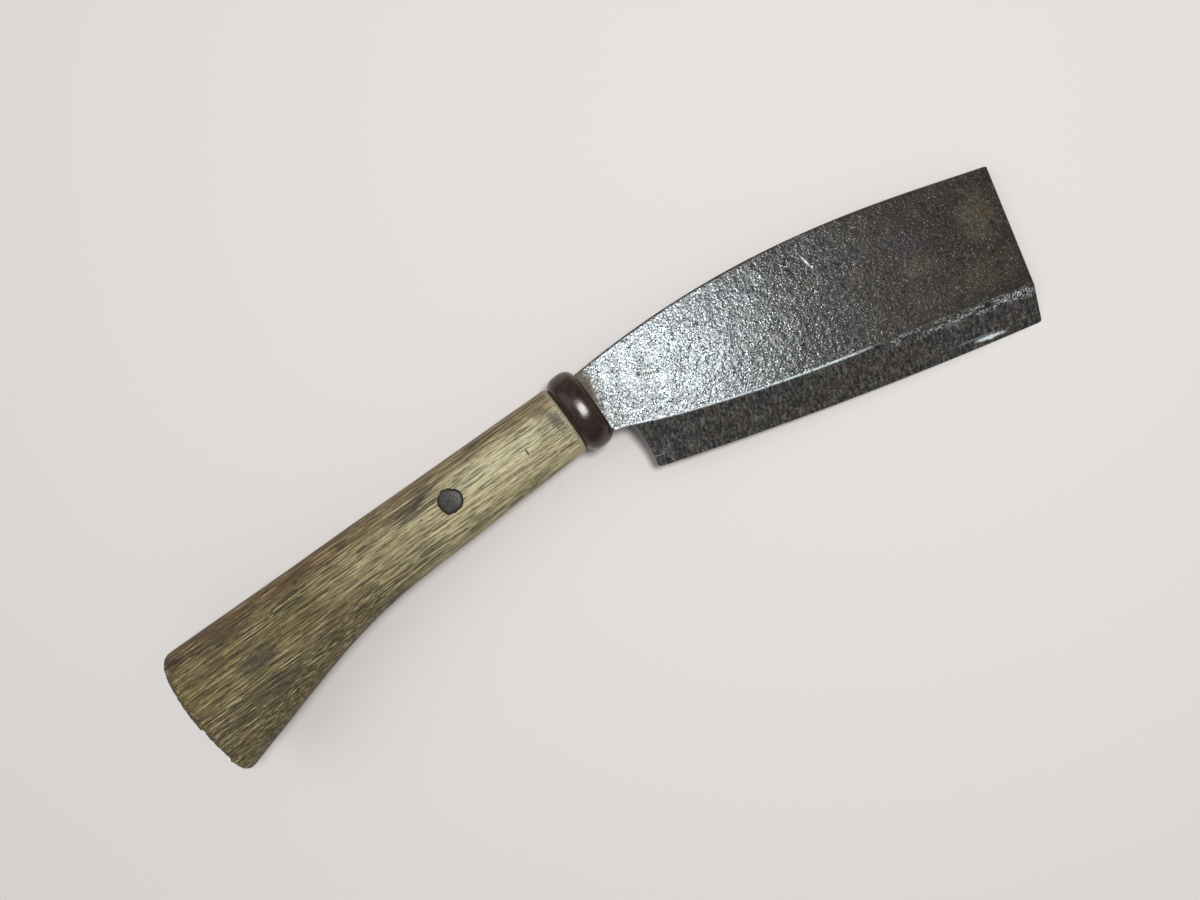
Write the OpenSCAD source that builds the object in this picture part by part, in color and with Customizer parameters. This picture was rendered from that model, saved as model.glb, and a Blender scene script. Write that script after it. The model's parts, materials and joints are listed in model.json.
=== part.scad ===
// Single-bevel nata: a short, heavy, square-ended chopping blade on a flared one-piece wooden handle.
// The tool is drawn in its own frame first: X runs along the cutting edge towards the tip, Y towards the
// spine, Z out of the bevelled face, with the origin on the handle's axis inside the ring. The handle turns
// away from X by handle_drop. laid_down() then lays the whole tool on the ground as it comes to rest by
// itself, on the ring and on the lower corner of the square tip, with the bevelled face up.
// All sizes are in millimetres.

/* [Blade] */
// Length of the cutting edge, from the heel to the tip
edge_len = 165.5; // [120:0.5:210]
// Distance from the middle of the ring to the heel
heel_x = 20.2; // [16:0.1:30]
// How far the heel of the edge lies below the handle's axis
heel_drop = 31.0; // [22:0.1:36]
// How far the edge lies below the axis at the tip
tip_drop = 31.3; // [22:0.1:40]
// How far the spine lies above the axis at the tip
tip_rise = 34.4; // [24:0.1:44]
// How far the upper corner of the tip lies behind the lower one
tip_slant = 1.6; // [0:0.1:3]
// Radius of the slight belly of the cutting edge
edge_r = 1950; // [900:50:4000]
// Angle at which the spine leaves the neck
spine_rise_deg = 19.5; // [10:0.5:24]
// Angle at which the spine runs out to the tip
spine_fall_deg = 1.2; // [0:0.1:4]
// Radius of the hollow of the heel, below the notch
heel_hollow_r = 40; // [30:1:80]
// Radius in the inner corner of the notch
notch_r = 1.2; // [0.6:0.1:3]
// How far the heel's corner is worn off
heel_ease = 1.8; // [0.5:0.1:3]
// How far the corners of the square tip are worn off
tip_ease = 1.2; // [0.3:0.1:3]
// Thickness of the blade where it leaves the ring
blade_t = 6; // [4:0.1:8]
// Thickness of the blade at the tip
tip_t = 5.4; // [3:0.1:6]

/* [Edge] */
// Angle between the flat back and the bevel
bevel_deg = 18; // [15:1:25]
// Thickness left along the edge in the middle of its length
edge_land = 0.3; // [0.2:0.05:0.6]
// Radius of the bevel, seen from above, across the length of the blade
bevel_r = 2600; // [1400:100:6000]
// Thickness of the hard steel that is forge-welded to the flat back
steel_t = 1.6; // [1:0.1:2.5]
// Width of the hard steel above the edge
steel_w = 38; // [25:1:45]

/* [Neck and tang] */
// Width of the neck where it stands on the ring
neck_w = 26.6; // [22:0.1:30]
// How far the middle of the neck lies below the handle's axis
neck_drop = 0.4; // [0:0.1:2]
// Width of the tang at the ring
tang_w = 15; // [12:0.5:17]
// Width of the tang at its end
tang_end_w = 11; // [9:0.5:14]
// Thickness of the tang at the ring
tang_t = 5.5; // [4:0.1:7]
// Thickness of the tang at its end
tang_end_t = 4; // [3:0.1:5]
// Length of the tang behind the front of the ring
tang_len = 108; // [80:1:130]

/* [Ring] */
// Height of the ring over its outside, from belly side to spine side
ring_h = 33.2; // [28:0.1:38]
// Thickness of the ring over its outside, across the flats of the handle
ring_z = 27.4; // [24:0.1:32]
// Length of the ring along the handle
ring_w = 12; // [8:0.5:16]
// Depth of the ring's half-round section
ring_depth = 5.5; // [4:0.1:6.5]
// Distance from the middle of the tool's frame to the front of the ring
ring_front = 5.0; // [4:0.1:7]
// How far the middle of the ring lies towards the spine
ring_rise = 0.6; // [0:0.1:2]

/* [Handle] */
// Angle by which the handle drops away from the line of the edge
handle_drop = 15; // [8:0.5:20]
// Length of the handle behind the middle of the ring, up to the rim of the butt
handle_len = 180.8; // [150:0.5:230]
// Height of the spine side above the axis at the front
back_rise = 15.3; // [14:0.1:18]
// How much that height grows by the butt
back_growth = 1.3; // [0:0.1:3]
// Depth of the belly side below the axis at the front
belly_drop = 12.9; // [11:0.1:16]
// How much the belly side drops for each millimetre of length
belly_slope = 0.04; // [0.02:0.002:0.08]
// Where the flare of the belly side begins, behind the middle of the ring
flare_start = 87; // [60:1:100]
// Length over which the flare bends into its full slope
flare_bend = 47; // [30:1:60]
// Extra slope of the belly side once it is fully flared
flare_slope = 0.24; // [0.1:0.01:0.35]
// Thickness of the handle at the front
grip_t = 23; // [20:0.5:26]
// Thickness of the handle at the butt
butt_t = 25.5; // [20:0.5:30]
// How far the middle of the butt stands out beyond its rim
butt_crown = 4.3; // [1:0.1:8]
// How much shorter the belly side of the butt is than its spine side
butt_slant = 1.7; // [0:0.1:4]
// Radius of the worn rim of the butt
butt_rim_r = 2.6; // [1:0.1:5]
// Radius of the eased edge behind the ring
front_rim_r = 1.8; // [0.8:0.1:2.5]

/* [Pin] */
// Distance from the middle of the ring to the pin
pin_back = 60.2; // [40:0.1:80]
// How far the pin lies towards the spine
pin_rise = 1.1; // [-2:0.1:3]
// Diameter of the pin's shank
pin_d = 6; // [4:0.5:8]
// Diameter of the peened heads
head_d = 10; // [8:0.5:12]
// Depth to which each head is let into the wood
head_depth = 1.8; // [1:0.1:3]
// How far each head domes out of the wood
head_dome = 0.4; // [0.1:0.1:1]

/* [Fits] */
// Gap all round the tang in its mortise
mortise_gap = 0.15; // [0.05:0.05:0.4]
// Gap between the tenon and the inside of the ring
tenon_gap = 0.1; // [0.05:0.05:0.3]
// How far the tenon stops short of the front of the ring
tenon_short = 0.6; // [0.2:0.1:2]
// Gap round the pin's shank and heads
pin_gap = 0.05; // [0.02:0.01:0.2]
// Empty length of mortise beyond the end of the tang
mortise_spare = 2; // [0.5:0.5:6]

/* [Hidden] */

// Blade, seen from above
tip_x = heel_x + edge_len;
back_z = -blade_t / 2;
neck_top = neck_w / 2 - neck_drop;
neck_low = -neck_w / 2 - neck_drop;
neck_top_at = turned(ring_front, neck_top);
neck_low_at = turned(ring_front, neck_low);
spine_reach = 0.5 * edge_len;
spine_run = 0.26 * edge_len;
notch_y = neck_low_at[1] - 0.2;
notch_x = heel_x - 3.4;
spine_steps = 28;
edge_steps = 20;

// Bevel
land_z = back_z + edge_land;
bevel_top_z = blade_t / 2 + 1;
edge_mid = [(heel_x + tip_x) / 2, -(heel_drop + tip_drop) / 2];
edge_tilt = atan2(heel_drop - tip_drop, edge_len);
edge_chord = norm([edge_len, heel_drop - tip_drop]);
edge_sag = edge_r - sqrt(edge_r * edge_r - edge_chord * edge_chord / 4);
edge_up = [-sin(edge_tilt), cos(edge_tilt)];
edge_centre = edge_mid + (edge_r - edge_sag) * edge_up;
bevel_centre = edge_mid + (bevel_r - edge_sag) * edge_up;

// Handle and ring sections
section_points = 40;
round_power = 2.4;
butt_power = 3;
ring_rear = ring_front - ring_w;
bore_h = ring_h / 2 - ring_depth;
bore_z = ring_z / 2 - ring_depth;
ring_side = 1;
body_step = 9;
rim_steps = 4;
cap_steps = 4;
pin_z = half_t(pin_back);

// The way the tool lies: tip and ring on the ground
ring_x = (ring_front + ring_rear) / 2 * cos(handle_drop);
lean = atan((ring_z / 2 - blade_t / 2) / (tip_x - ring_x));
lift = tip_x * sin(lean) + blade_t / 2 * cos(lean);
rims = [for (p = handle_points()) leaned(turned(p[0], p[1])[0], p[2])];
sides = [for (p = handle_points()) turned(p[0], p[1])[1]];
low_x = min(rims);
tip_bevel_w = (tip_t - edge_land) / tan(bevel_deg);
bevel_end_x = tip_x - tip_slant * tip_bevel_w / (tip_rise + tip_drop);
high_x = max(leaned(tip_x, land_z), leaned(bevel_end_x, tip_t - blade_t / 2));
low_y = min(sides);
high_y = max([for (p = spine_line()) p[1]]);

eps = 0.01;

// A point of the handle's frame in the tool's frame, seen from above
function turned(u, v) = [
    u * cos(handle_drop) - v * sin(handle_drop),
    u * sin(handle_drop) + v * cos(handle_drop)
];

// How far along the ground a point lies once the tool leans
function leaned(x, z) = x * cos(lean) + z * sin(lean);

// A point of a cubic curve
function curve(a, b, c, d, t) =
    pow(1 - t, 3) * a + 3 * pow(1 - t, 2) * t * b + 3 * (1 - t) * t * t * c + pow(t, 3) * d;

// A corner p worn off between its neighbours on the outline
function eased(p, from, to, r) = let (
    a = p + r * (from - p) / norm(from - p),
    b = p + r * (to - p) / norm(to - p)
) [for (t = [0 : 0.25 : 1]) (1 - t) * (1 - t) * a + 2 * t * (1 - t) * p + t * t * b];

// A power of a cosine or sine that keeps its sign
function signed_pow(x, p) = sign(x) * pow(abs(x), p);

// The spine, from the neck to the worn corner of the tip
function spine_line() = let (
    start = neck_top_at,
    end = [tip_x - tip_slant, tip_rise],
    lead = start + spine_reach * [cos(spine_rise_deg), sin(spine_rise_deg)],
    trail = end - spine_run * [cos(spine_fall_deg), -sin(spine_fall_deg)]
) [for (i = [0 : spine_steps - 1]) curve(start, lead, trail, end, i / spine_steps)];

// The belly of the cutting edge, between its two ends and from tip to heel
function edge_line() = let (half = asin(edge_chord / 2 / edge_r)) [
    for (i = [1 : edge_steps - 1])
        let (a = half - 2 * half * i / edge_steps)
        edge_centre + edge_r * [sin(a + edge_tilt), -cos(a + edge_tilt)]
];

// The hollow back of the heel, from the edge up to the notch
function heel_line() = let (
    low = [heel_x, -heel_drop],
    high = [notch_x, notch_y - notch_r],
    middle = (low + high) / 2,
    half = norm(low - high) / 2,
    across = (low - high) / (2 * half),
    bow = heel_hollow_r - sqrt(heel_hollow_r * heel_hollow_r - half * half),
    inward = [-across[1], across[0]]
) [for (i = [1 : 5]) let (k = i / 6 * 2 - 1) middle - k * half * across + bow * (1 - k * k) * inward];

// The rounded inner corner of the notch
function notch_line() = [
    for (a = [0 : 22.5 : 90])
        [notch_x - notch_r * (1 - cos(a)), notch_y - notch_r * (1 - sin(a))]
];

// Depth of the belly side at a distance behind the middle of the ring
function belly_at(s) = belly_drop + belly_slope * s + flare_slope * flare_run(s);
function flare_run(s) =
    s < flare_start ? 0 :
    s < flare_start + flare_bend ? pow(s - flare_start, 2) / (2 * flare_bend) :
    s - flare_start - flare_bend / 2;

// Height of the spine side, and half the thickness, at that distance
function back_at(s) = back_rise + back_growth * s / handle_len;
function half_t(s) = (grip_t + (butt_t - grip_t) * s / handle_len) / 2;

// How square the handle's section is at that distance
function power_at(s) = round_power + (butt_power - round_power) * s / handle_len;

// One oval outline of half height h and half thickness t
function oval(h, t, p) = [
    for (i = [0 : section_points - 1])
        let (a = 360 * i / section_points)
        [h * signed_pow(cos(a), 2 / p), t * signed_pow(sin(a), 2 / p)]
];

// One section of the handle, drawn in by inset and scaled by k. By its share it takes the shape of the
// butt, whose middle stands out and whose belly side is cut back.
function section(s, inset, k, share) = let (
    middle = (back_at(s) - belly_at(s)) / 2,
    h = (back_at(s) + belly_at(s)) / 2,
    t = half_t(s)
) [
    for (q = oval(k * (h - inset), k * (t - inset), power_at(s)))
        let (
            out = butt_crown * (1 - pow(q[0] / h, 2)) * (1 - 0.6 * pow(q[1] / t, 2)),
            cut = butt_slant * (1 - q[0] / h) / 2
        )
        [-s - share * (out - cut), middle + q[0], q[1]]
];

// One section of the tenon inside the ring
function tenon_section(u, inset) = [
    for (q = oval(bore_h - tenon_gap - inset, bore_z - tenon_gap - inset, round_power))
        [u, ring_rise + q[0], q[1]]
];

// All sections of the handle, from the front of the tenon to the butt
function handle_sections() = let (
    shoulder = -ring_rear,
    body_from = shoulder + front_rim_r,
    body_to = handle_len - 4 * butt_rim_r,
    body_count = ceil((body_to - body_from) / body_step)
) [
    tenon_section(ring_front - tenon_short, 0.6),
    tenon_section(ring_front - tenon_short - 0.6, 0),
    tenon_section(ring_rear, 0),
    for (i = [0 : rim_steps - 1])
        let (a = 90 * i / rim_steps)
        section(shoulder + front_rim_r * (1 - cos(a)), front_rim_r * (1 - sin(a)), 1, 0),
    for (i = [0 : body_count]) section(body_from + (body_to - body_from) * i / body_count, 0, 1, 0),
    for (i = [0 : rim_steps])
        let (a = 90 * i / rim_steps)
        section(
            handle_len - butt_rim_r * (1 - sin(a)),
            butt_rim_r * (1 - cos(a)),
            1,
            0.35 + 0.65 * i / rim_steps
        ),
    for (i = [1 : cap_steps])
        section(handle_len, butt_rim_r, 1 - 0.98 * i / cap_steps, 1)
];
function handle_points() = [for (ring = handle_sections()) each ring];

// Side faces of a loft with count sections, and its two end faces
function loft_faces(count) = [
    [for (j = [0 : section_points - 1]) j],
    [for (j = [section_points - 1 : -1 : 0]) (count - 1) * section_points + j],
    for (i = [0 : count - 2])
        for (j = [0 : section_points - 1])
            let (
                n = (j + 1) % section_points,
                a = i * section_points + j,
                b = i * section_points + n,
                c = (i + 1) * section_points + n,
                d = (i + 1) * section_points + j
            )
            each [[a, d, c], [a, c, b]]
];

// The ring's half-round section: [how far out, how far from the middle of its length]
function ring_profile() = concat(
    [[0, -ring_w / 2 + 0.5], [0.5, -ring_w / 2]],
    [
        for (a = [-90 : 20 : 90])
            [
                ring_side + (ring_depth - ring_side) * signed_pow(cos(a), 0.85),
                ring_w / 2 * signed_pow(sin(a), 0.85)
            ]
    ],
    [[0.5, ring_w / 2], [0, ring_w / 2 - 0.5]]
);

// One station of the ring, swept outwards along the normal of its bore
function ring_station(a) = let (
    c = signed_pow(cos(a), 2 / round_power),
    s = signed_pow(sin(a), 2 / round_power),
    nc = signed_pow(cos(a), 2 - 2 / round_power) / bore_h,
    ns = signed_pow(sin(a), 2 - 2 / round_power) / bore_z,
    len = norm([nc, ns])
) [
    for (q = ring_profile())
        [
            (ring_front + ring_rear) / 2 + q[1],
            ring_rise + bore_h * c + q[0] * nc / len,
            bore_z * s + q[0] * ns / len
        ]
];

// Lays the tool on the ground, with its box centred over the origin
module laid_down() {
    translate([-(low_x + high_x) / 2, -(low_y + high_y) / 2, lift])
        rotate([0, lean, 0])
            children();
}

// Turns a shape from the handle's frame into the tool's frame
module on_handle() {
    rotate([0, 0, handle_drop])
        children();
}

// The outline of the blade without its tang
module blade_outline() {
    spine = spine_line();
    edge = edge_line();
    heel = heel_line();
    tip_top = [tip_x - tip_slant, tip_rise];
    tip_low = [tip_x, -tip_drop];
    polygon(concat(
        spine,
        eased(tip_top, spine[len(spine) - 1], tip_low, tip_ease),
        eased(tip_low, tip_top, edge[0], tip_ease),
        edge,
        eased([heel_x, -heel_drop], edge[len(edge) - 1], heel[0], heel_ease),
        heel,
        notch_line(),
        [neck_low_at]
    ));
}

// The blade as one solid: its outline, tapered towards the tip and bevelled on the upper face
module blade_solid() {
    intersection() {
        translate([0, 0, back_z])
            linear_extrude(height = blade_t)
                blade_outline();
        taper();
        bevel();
    }
}

// The wedge that thins the blade towards the tip: the back stays flat and the upper face slopes
module taper() {
    rotate([90, 0, 0])
        linear_extrude(height = 4 * tip_rise, center = true)
            polygon([
                [-neck_w, back_z - eps],
                [tip_x + 1, back_z - eps],
                [tip_x + 1, back_z + tip_t],
                [0, back_z + blade_t],
                [-neck_w, back_z + blade_t]
            ]);
}

// A very wide cone, centred above the belly of the edge, whose slope is the bevel
module bevel() {
    translate([bevel_centre[0], bevel_centre[1], 0]) {
        translate([0, 0, land_z])
            cylinder(
                h = bevel_top_z - land_z,
                r1 = bevel_r,
                r2 = bevel_r - (bevel_top_z - land_z) / tan(bevel_deg),
                $fn = 720
            );
        translate([0, 0, back_z - 1])
            cylinder(h = land_z - back_z + 1, r = bevel_r, $fn = 720);
    }
}

// The space that the hard steel fills: a layer on the back, along the edge
module steel_zone() {
    translate([notch_x - 2, -2 * heel_drop, back_z - 1])
        cube([edge_len + 2 * neck_w, 2 * heel_drop - max(heel_drop, tip_drop) + steel_w, steel_t + 1]);
}

// The tang, or with a gap the mortise that holds it
module tang(gap, spare) {
    front = gap > 0 ? ring_front + 1 : ring_front + 8;
    end = ring_front - tang_len - spare;
    half = tang_w / 2 + gap;
    end_half = tang_end_w / 2 + gap;
    half_thick = tang_t / 2 + gap;
    end_half_thick = tang_end_t / 2 + gap;
    on_handle()
        intersection() {
            translate([0, 0, -blade_t])
                linear_extrude(height = 2 * blade_t)
                    polygon([
                        [front, half],
                        [ring_front, half],
                        [end + 3, end_half],
                        [end, end_half - 3],
                        [end, -end_half + 3],
                        [end + 3, -end_half],
                        [ring_front, -half],
                        [front, -half]
                    ]);
            rotate([90, 0, 0])
                linear_extrude(height = 2 * neck_w, center = true)
                    polygon([
                        [front, half_thick],
                        [ring_front, half_thick],
                        [end, end_half_thick],
                        [end, -end_half_thick],
                        [ring_front, -half_thick],
                        [front, -half_thick]
                    ]);
        }
}

// A round bar through the handle on the pin's axis
module pin_bar(d, from, to) {
    on_handle()
        translate([-pin_back, pin_rise, from])
            cylinder(h = to - from, d = d, $fn = 64);
}

// Soft iron body of the blade with its tang
module blade_body() {
    color("#5a5550")
        laid_down()
            difference() {
                union() {
                    difference() {
                        blade_solid();
                        steel_zone();
                    }
                    tang(0, 0);
                }
                pin_bar(pin_d + 2 * pin_gap, -blade_t, blade_t);
            }
}

// Hard steel along the edge, flush with the flat back
module edge_steel() {
    color("#6f6d68")
        laid_down()
            intersection() {
                blade_solid();
                steel_zone();
            }
}

// Wooden handle with its tenon, mortise and pin hole
module handle() {
    sections = handle_sections();
    color("#94866a")
        laid_down()
            difference() {
                on_handle()
                    polyhedron(points = handle_points(), faces = loft_faces(len(sections)), convexity = 6);
                tang(mortise_gap, mortise_spare);
                pin_bar(pin_d + 2 * pin_gap, -grip_t, grip_t);
                pin_bar(head_d + 2 * pin_gap, pin_z - head_depth, grip_t);
                pin_bar(head_d + 2 * pin_gap, -grip_t, -(pin_z - head_depth));
            }
}

// Forged ring round the mouth of the handle
module ferrule_ring() {
    profile = len(ring_profile());
    stations = 48;
    color("#4a3c34")
        laid_down()
            on_handle()
                polyhedron(
                    points = [for (i = [0 : stations - 1]) each ring_station(360 * i / stations)],
                    faces = [
                        for (i = [0 : stations - 1])
                            for (j = [0 : profile - 1])
                                let (
                                    a = i * profile + j,
                                    b = i * profile + (j + 1) % profile,
                                    c = (i + 1) % stations * profile + (j + 1) % profile,
                                    d = (i + 1) % stations * profile + j
                                )
                                each [[a, b, c], [a, c, d]]
                    ],
                    convexity = 6
                );
}

// Iron pin through handle and tang, peened at both ends
module handle_pin() {
    floor_z = pin_z - head_depth;
    head_r = head_d / 2;
    dome_r = (head_r * head_r + head_dome * head_dome) / (2 * head_dome);
    color("#534f4a")
        laid_down()
            on_handle()
                translate([-pin_back, pin_rise, 0]) {
                    cylinder(h = 2 * floor_z + head_depth, d = pin_d, center = true, $fn = 64);
                    for (side = [0, 1])
                        mirror([0, 0, side])
                            intersection() {
                                translate([0, 0, floor_z])
                                    cylinder(h = head_depth + head_dome, d = head_d, $fn = 64);
                                translate([0, 0, pin_z + head_dome - dome_r])
                                    sphere(r = dome_r, $fn = 128);
                            }
                }
}

blade_body();
edge_steel();
handle();
ferrule_ring();
handle_pin();
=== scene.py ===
import json
import math

import bmesh
import bpy
import numpy as np
from mathutils import Matrix, Vector, noise


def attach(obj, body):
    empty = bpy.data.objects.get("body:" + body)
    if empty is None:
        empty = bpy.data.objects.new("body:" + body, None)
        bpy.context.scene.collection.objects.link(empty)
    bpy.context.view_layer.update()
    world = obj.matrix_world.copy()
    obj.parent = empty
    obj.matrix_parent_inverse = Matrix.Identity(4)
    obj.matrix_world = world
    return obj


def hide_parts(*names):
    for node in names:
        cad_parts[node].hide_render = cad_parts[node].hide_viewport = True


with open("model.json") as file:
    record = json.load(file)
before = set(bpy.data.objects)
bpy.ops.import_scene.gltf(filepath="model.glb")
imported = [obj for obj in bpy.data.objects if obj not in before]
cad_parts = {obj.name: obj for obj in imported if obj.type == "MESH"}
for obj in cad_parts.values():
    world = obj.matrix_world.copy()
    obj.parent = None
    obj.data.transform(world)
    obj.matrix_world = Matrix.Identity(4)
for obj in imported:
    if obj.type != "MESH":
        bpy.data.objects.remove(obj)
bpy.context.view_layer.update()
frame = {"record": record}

# The tool is modelled in millimetres in its own frame, as a maker would measure it: X runs along the cutting
# edge to the tip, Y to the spine, Z out of the bevelled face. The handle's frame is the same one turned by the
# drop of the handle. Two mounts of the record say how both frames lie in the row frame.
MM = 0.001
mounts = {m["name"]: m for m in frame["record"]["mounts"]}
lean = math.asin(-mounts["blade_back"]["axis"][0])
drop = math.asin(-mounts["hand_grip"]["axis"][1])

# Outline of the blade; WEAR is the radius of a worn corner
HEEL_X = 20.2
HEEL_Y = -31.0
HEEL_LEAN = 0.19
HEEL_HOLLOW = 0.98
HEEL_WEAR = 1.8
TIP_X = 185.7
TIP_LOW_Y = -31.3
TIP_TOP_Y = 34.4
TIP_SLANT = 1.6
TIP_WEAR = 1.2
END_WEAR = 0.4
EDGE_R = 1950.0
SPINE_RISE = math.radians(19.5)
SPINE_FALL = math.radians(1.2)
NECK_TOP = 12.9
NECK_LOW = -13.7
NOTCH_X = 16.8
NOTCH_Y = -12.14
NOTCH_R = 1.2

# Thickness of the blade, and its layer of hard steel
BLADE_T = 6.0
TIP_T = 5.4
BACK_Z = -BLADE_T / 2
BACK_MOUNT = (110, 20, BACK_Z)
RIM_R = 0.5
LAND = 0.3
STEEL_T = 1.6
STEEL_TOP_Y = 6.7
STEEL_LEFT_X = 15.6
STEEL_BED_Z = BACK_Z + STEEL_T - 0.2
WELD_SEAM = 0.08
SEAT_GAP = 0.05

# Handle, ring and pin
RING_FRONT = 5.0
RING_REAR = -7.0
RING_RISE = 0.6
RING_DEPTH = 5.5
RING_SIDE = 1.0
BORE_H = 11.1
BORE_Z = 8.2
TENON_END = 4.4
ROUND_POWER = 2.4
BUTT_POWER = 3.0
HANDLE_LEN = 180.8
GRIP_T = 23.0
BUTT_T = 25.5
BACK_H = 15.3
BACK_SWELL = 1.3
BELLY_H = 12.9
BELLY_SLOPE = 0.04
FLARE_START = 87
FLARE_BEND = 47
FLARE_SLOPE = 0.24
BUTT_CROWN = 4.3
BUTT_SLANT = 1.7
BUTT_RIM_R = 2.6
FRONT_RIM_R = 1.8
PIN_BACK = 60.2
PIN_RISE = 1.1
PIN_D = 6.0
HEAD_R = 5.0
HEAD_DEPTH = 1.8
HEAD_DOME = 0.4

# Both ends of the tang and of its mortise: place along the handle, half width, half thickness
TANG = (RING_FRONT - 108, 5.5, 2.0), (RING_FRONT + 3, 7.5, 2.75)
MORTISE = (-105.0, 5.65, 2.15), (12.0, 7.75, 2.95)

lean_turn = Matrix.Rotation(lean, 4, "Y")
back_point = lean_turn @ (Vector(BACK_MOUNT) * MM)
TOOL = Matrix.Translation(Vector(mounts["blade_back"]["pos_m"]) - back_point) @ lean_turn @ Matrix.Scale(MM, 4)
HANDLE = TOOL @ Matrix.Rotation(drop, 4, "Z")


def turned(u, v):
    """A point of the handle's frame, seen from above, in the blade's frame."""
    return u * math.cos(drop) - v * math.sin(drop), u * math.sin(drop) + v * math.cos(drop)


def smooth(low, high, x):
    """0 below low, 1 above high, and an eased climb between them."""
    t = min(1.0, max(0.0, (x - low) / (high - low)))
    return t * t * (3 - 2 * t)


def spread(count, length, near_start, near_end):
    """Distances from 0 to length, with the given fine steps at both ends and even steps between them."""
    inner = np.linspace(near_start[-1], length - near_end[-1], count - len(near_start) - len(near_end) + 3)
    return np.concatenate([[0.0], near_start[:-1], inner, [length - d for d in near_end[-2::-1]], [length]])


# ---------------------------------------------------------------- blade outline

edge_mid = np.array([(HEEL_X + TIP_X) / 2, (HEEL_Y + TIP_LOW_Y) / 2])
edge_run = np.array([TIP_X - HEEL_X, TIP_LOW_Y - HEEL_Y])
edge_chord = float(np.hypot(*edge_run))
edge_up = np.array([-edge_run[1], edge_run[0]]) / edge_chord
edge_centre = edge_mid + math.sqrt(EDGE_R**2 - edge_chord**2 / 4) * edge_up

# Width of the bevel along the blade: widest at the heel, and a little wider again past the middle
BEVEL_AT = [15.6, 18.8, 26, 35, 51, 68, 84, 102, 112, 119, 127, 150, 165, 176, TIP_X]
BEVEL_WIDTH = [18.8, 18.5, 17.7, 17.06, 16.44, 15.9, 15.75, 15.85, 16.1, 16.6, 16.8, 16.75, 16.1, 15.95, 15.7]


def spine_y(x):
    """Height of the spine, a cubic curve from the neck to the tip."""
    start = np.array(turned(RING_FRONT, NECK_TOP))
    end = np.array([TIP_X, TIP_TOP_Y])
    lead = start + 0.5 * (TIP_X - HEEL_X) * np.array([math.cos(SPINE_RISE), math.sin(SPINE_RISE)])
    trail = end - 0.26 * (TIP_X - HEEL_X) * np.array([math.cos(SPINE_FALL), -math.sin(SPINE_FALL)])
    t = np.linspace(0, 1, 400)[:, None]
    curve = (1 - t) ** 3 * start + 3 * (1 - t) ** 2 * t * lead + 3 * (1 - t) * t * t * trail + t**3 * end
    return np.interp(x, curve[:, 0], curve[:, 1])


def edge_y(x):
    """Height of the cutting edge, a shallow arc."""
    return edge_centre[1] - np.sqrt(EDGE_R**2 - (x - edge_centre[0]) ** 2)


def bevel_line_y(x):
    """The line where the forged flat meets the ground bevel."""
    return edge_y(x) + np.interp(x, BEVEL_AT, BEVEL_WIDTH)


def flat_z(x):
    """Level of the forged flat, which thins a little towards the tip."""
    return BACK_Z + BLADE_T + (TIP_T - BLADE_T) * max(x, 0.0) / (TIP_X + 1)


def heel_outline(t):
    """The left end of the bevel, from the notch (t = 0) down to the heel (t = 1)."""
    turns = np.linspace(math.pi / 2, 0, 6)
    corner = [(NOTCH_X - NOTCH_R * (1 - math.cos(a)), NOTCH_Y - NOTCH_R * (1 - math.sin(a))) for a in turns]
    low, high = np.array([HEEL_X, HEEL_Y]), np.array([NOTCH_X, NOTCH_Y - NOTCH_R])
    along = (low - high) / np.hypot(*(low - high))
    inward = np.array([-along[1], along[0]])
    hollow = [high + k * (low - high) + HEEL_HOLLOW * 4 * k * (1 - k) * inward for k in np.linspace(0.08, 1, 12)]
    points = np.array(corner + hollow)
    length = np.concatenate([[0], np.cumsum(np.hypot(*np.diff(points, axis=0).T))])
    return np.array([np.interp(t * length[-1], length, points[:, axis]) for axis in (0, 1)])


def past_heel(p):
    """How far a point lies ahead of the leaning left end of the bevel."""
    return p[0] - HEEL_X - HEEL_LEAN * (HEEL_Y - p[1])


def worn_corner(a, b, r):
    """Distances a and b from a corner, moved so that the corner is rounded with radius r."""
    if a >= r or b >= r:
        return a, b
    p, q = 1 - a / r, 1 - b / r
    return r * (1 - p * math.sqrt(1 - q * q / 2)), r * (1 - q * math.sqrt(1 - p * p / 2))


# ---------------------------------------------------------------- surface relief

def bumps(x, y, z, size):
    return noise.noise((x / size, y / size, z / size))


def scale_pits(x, y):
    """Scattered forge-scale pits: 0 on sound skin, up to 1 in the middle of a pit."""
    depth = 0.0
    for cell, seed in ((6.5, 3.1), (3.4, 9.7)):
        p = Vector((x / cell + seed, y / cell, seed))
        distances, points = noise.voronoi(p)
        size = 0.10 + 0.17 * noise.noise(points[0] * 5.3)
        ragged = distances[0] + 0.09 * noise.noise(p * 5.1)
        if size > 0.03:
            depth = max(depth, 1 - smooth(0.35 * size, size, ragged))
    return depth


def forged(x, y):
    """Relief of the hammered flat in millimetres, and its pits."""
    calm = smooth(105, 165, x)
    pit = scale_pits(x, y) * (1 - 0.45 * calm)
    grain = 0.045 * bumps(x, y, 1.0, 1.25) + 0.04 * bumps(x, y, 5.0, 2.3)
    hammer = 0.10 * bumps(x, y, 9.0, 17.0) + 0.05 * bumps(x, y, 3.0, 7.0)
    return grain * (1 - 0.5 * calm) + hammer - 0.12 * pit, pit


def ground(x, y):
    """Relief of the ground bevel: strokes across it, and pits in its upper part towards the tip."""
    strokes = 0.018 * noise.noise((x / 0.9, y / 7, 2.0)) + 0.03 * bumps(x, y, 7.0, 5.0)
    width = bevel_line_y(x) - y
    rough = smooth(95, 130, x) * (1 - smooth(3.0, 6.5, width))
    pit = scale_pits(x * 1.7 + 40, y * 1.7) * rough + 0.5 * scale_pits(x + 90, y) * (1 - rough)
    return strokes + 0.05 * rough * bumps(x, y, 11.0, 1.6) - 0.14 * pit, pit


# ---------------------------------------------------------------- pieces

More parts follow.
